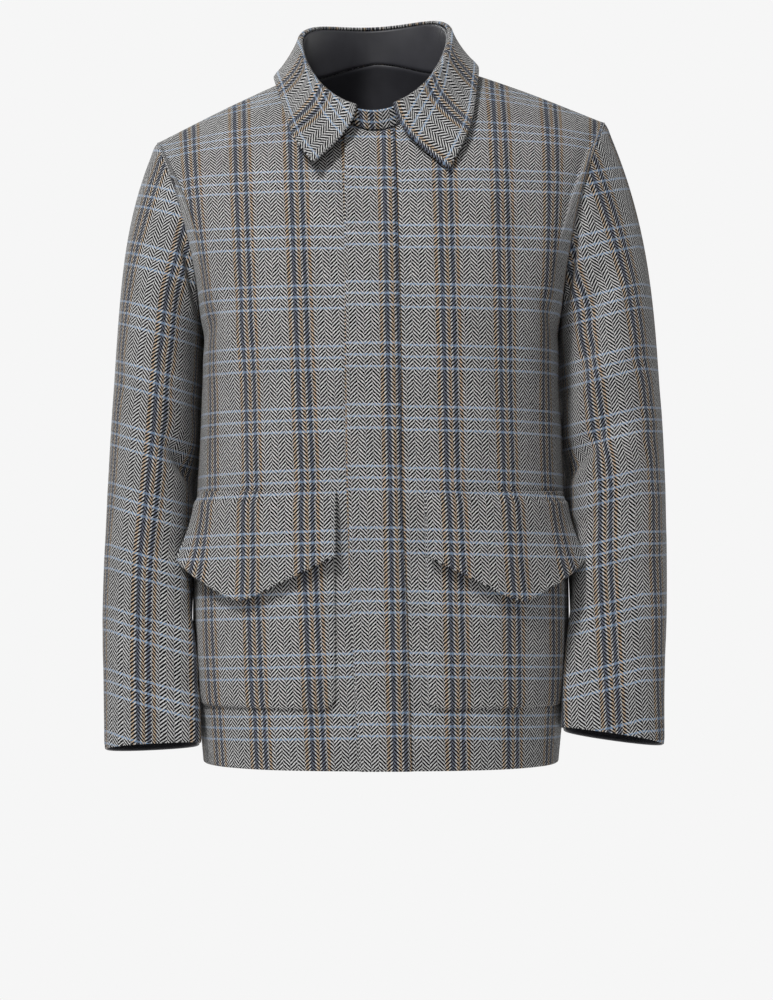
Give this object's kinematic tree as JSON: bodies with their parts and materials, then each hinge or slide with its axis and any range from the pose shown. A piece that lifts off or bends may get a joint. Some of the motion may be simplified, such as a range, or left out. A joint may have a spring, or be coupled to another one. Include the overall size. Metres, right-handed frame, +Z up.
{
  "type": "zip jacket",
  "caption": "Worn hip-length wool jacket in grey checked herringbone, with a fold-down collar, covered zip front, flapped patch pockets and set-in sleeves",
  "frame": {"origin": "middle of the wearer's neck, level with the neck ends of the shoulder seams", "axes": "+Z up the worn jacket, -Y out of its front, +X to the wearer's left"},
  "size_m": [0.5885, 0.2996, 0.7811],
  "materials": {
    "wool": "matt woven wool, herringbone with an overcheck",
    "zip_tape": "matt woven tape",
    "zip_metal": "dull metal teeth"
  },
  "bodies": {
    "root": {"front_right": "wool", "front_left": "wool", "back": "wool", "sleeve_right": "wool", "sleeve_left": "wool", "collar_stand": "wool", "collar_leaf": "wool", "placket": "wool", "pocket_right": "wool", "pocket_left": "wool", "flap_right": "wool", "flap_left": "wool", "zip_tape_right": "zip_tape", "zip_tape_left": "zip_tape", "zip_chain": "zip_metal"}
  },
  "joints": []
}
